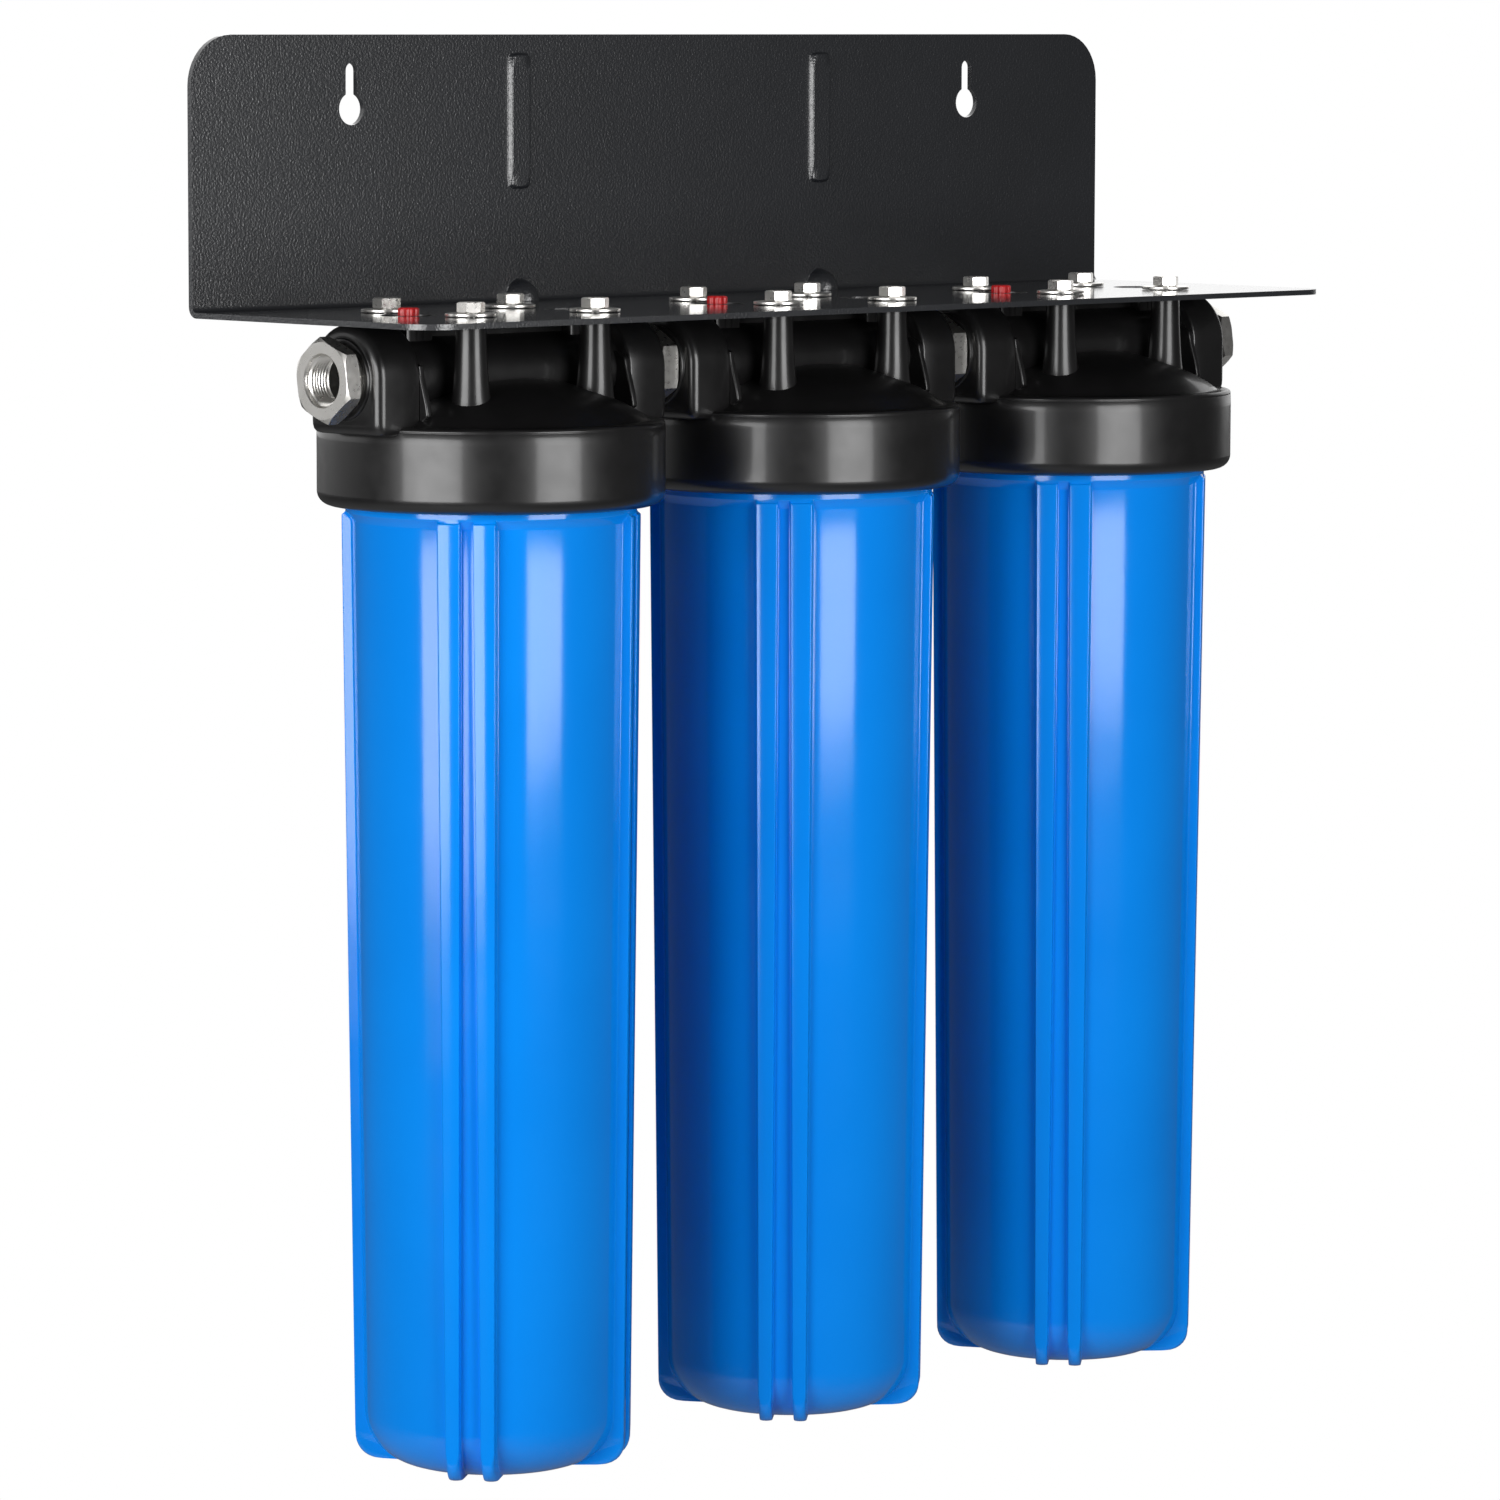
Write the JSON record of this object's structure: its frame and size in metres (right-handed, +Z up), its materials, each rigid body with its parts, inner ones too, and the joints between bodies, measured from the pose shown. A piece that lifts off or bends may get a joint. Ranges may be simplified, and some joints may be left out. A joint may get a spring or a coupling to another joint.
{
  "type": "whole house water filter",
  "caption": "Wall-hung water filter: ribbed blue housings screwed into black heads under a folded black steel bracket, joined in series with hex fittings.",
  "frame": {"origin": "middle of the bracket's back face, on the wall plane", "axes": "+X along the row from inlet to outlet, +Y into the wall, +Z up"},
  "size_m": [0.69, 0.192, 0.759],
  "materials": {
    "powder_coat": "fine textured satin black",
    "black_plastic": "satin black",
    "blue_plastic": "glossy blue",
    "red_plastic": "glossy red",
    "stainless": "bright machined steel",
    "spring_steel": "drawn wire",
    "black_rubber": "matt",
    "filter_block": "matt white fibre"
  },
  "bodies": {
    "frame": {"bracket": "powder_coat", "head_1": "black_plastic", "washer_1_1": "stainless", "bolt_1_1": "stainless", "washer_1_2": "stainless", "bolt_1_2": "stainless", "washer_1_3": "stainless", "bolt_1_3": "stainless", "washer_1_4": "stainless", "bolt_1_4": "stainless", "relief_spring_1": "spring_steel", "head_2": "black_plastic", "washer_2_1": "stainless", "bolt_2_1": "stainless", "washer_2_2": "stainless", "bolt_2_2": "stainless", "washer_2_3": "stainless", "bolt_2_3": "stainless", "washer_2_4": "stainless", "bolt_2_4": "stainless", "relief_spring_2": "spring_steel", "head_3": "black_plastic", "washer_3_1": "stainless", "bolt_3_1": "stainless", "washer_3_2": "stainless", "bolt_3_2": "stainless", "washer_3_3": "stainless", "bolt_3_3": "stainless", "washer_3_4": "stainless", "bolt_3_4": "stainless", "relief_spring_3": "spring_steel", "inlet_bushing": "stainless", "outlet_bushing": "stainless", "nipple_1": "stainless", "nipple_2": "stainless"},
    "relief_1": {"relief_button_1": "red_plastic"},
    "element_1": {"cartridge_1": "filter_block", "upper_gasket_1": "black_rubber", "lower_gasket_1": "black_rubber"},
    "housing_1": {"sump_1": "blue_plastic", "sump_o_ring_1": "black_rubber"},
    "relief_2": {"relief_button_2": "red_plastic"},
    "element_2": {"cartridge_2": "filter_block", "upper_gasket_2": "black_rubber", "lower_gasket_2": "black_rubber"},
    "housing_2": {"sump_2": "blue_plastic", "sump_o_ring_2": "black_rubber"},
    "relief_3": {"relief_button_3": "red_plastic"},
    "element_3": {"cartridge_3": "filter_block", "upper_gasket_3": "black_rubber", "lower_gasket_3": "black_rubber"},
    "housing_3": {"sump_3": "blue_plastic", "sump_o_ring_3": "black_rubber"}
  },
  "joints": [
    {"name": "element_drop_1", "type": "slide", "parent": "frame", "child": "element_1", "axis": [0, 0, -1], "range_m": [0, 0.02]},
    {"name": "sump_turn_1", "type": "hinge", "parent": "element_1", "child": "housing_1", "pos_m": [-0.222, -0.1, -0.4], "axis": [0, 0, -1], "range_deg": [0, 1080]},
    {"name": "relief_press_1", "type": "slide", "parent": "frame", "child": "relief_1", "axis": [0, 0, -1], "range_m": [0, 0.003], "stiffness_N_per_m": 900, "springref_m": -0.002, "deforming": ["relief_spring_1"]},
    {"name": "element_drop_2", "type": "slide", "parent": "frame", "child": "element_2", "axis": [0, 0, -1], "range_m": [0, 0.02]},
    {"name": "sump_turn_2", "type": "hinge", "parent": "element_2", "child": "housing_2", "pos_m": [0, -0.1, -0.4], "axis": [0, 0, -1], "range_deg": [0, 1080]},
    {"name": "relief_press_2", "type": "slide", "parent": "frame", "child": "relief_2", "axis": [0, 0, -1], "range_m": [0, 0.003], "stiffness_N_per_m": 900, "springref_m": -0.002, "deforming": ["relief_spring_2"]},
    {"name": "element_drop_3", "type": "slide", "parent": "frame", "child": "element_3", "axis": [0, 0, -1], "range_m": [0, 0.02]},
    {"name": "sump_turn_3", "type": "hinge", "parent": "element_3", "child": "housing_3", "pos_m": [0.222, -0.1, -0.4], "axis": [0, 0, -1], "range_deg": [0, 1080]},
    {"name": "relief_press_3", "type": "slide", "parent": "frame", "child": "relief_3", "axis": [0, 0, -1], "range_m": [0, 0.003], "stiffness_N_per_m": 900, "springref_m": -0.002, "deforming": ["relief_spring_3"]}
  ],
  "couplings": [
    {"joint": "element_drop_1", "follows": "sump_turn_1", "m_per_rad": 0.0010345},
    {"joint": "element_drop_2", "follows": "sump_turn_2", "m_per_rad": 0.0010345},
    {"joint": "element_drop_3", "follows": "sump_turn_3", "m_per_rad": 0.0010345}
  ]
}
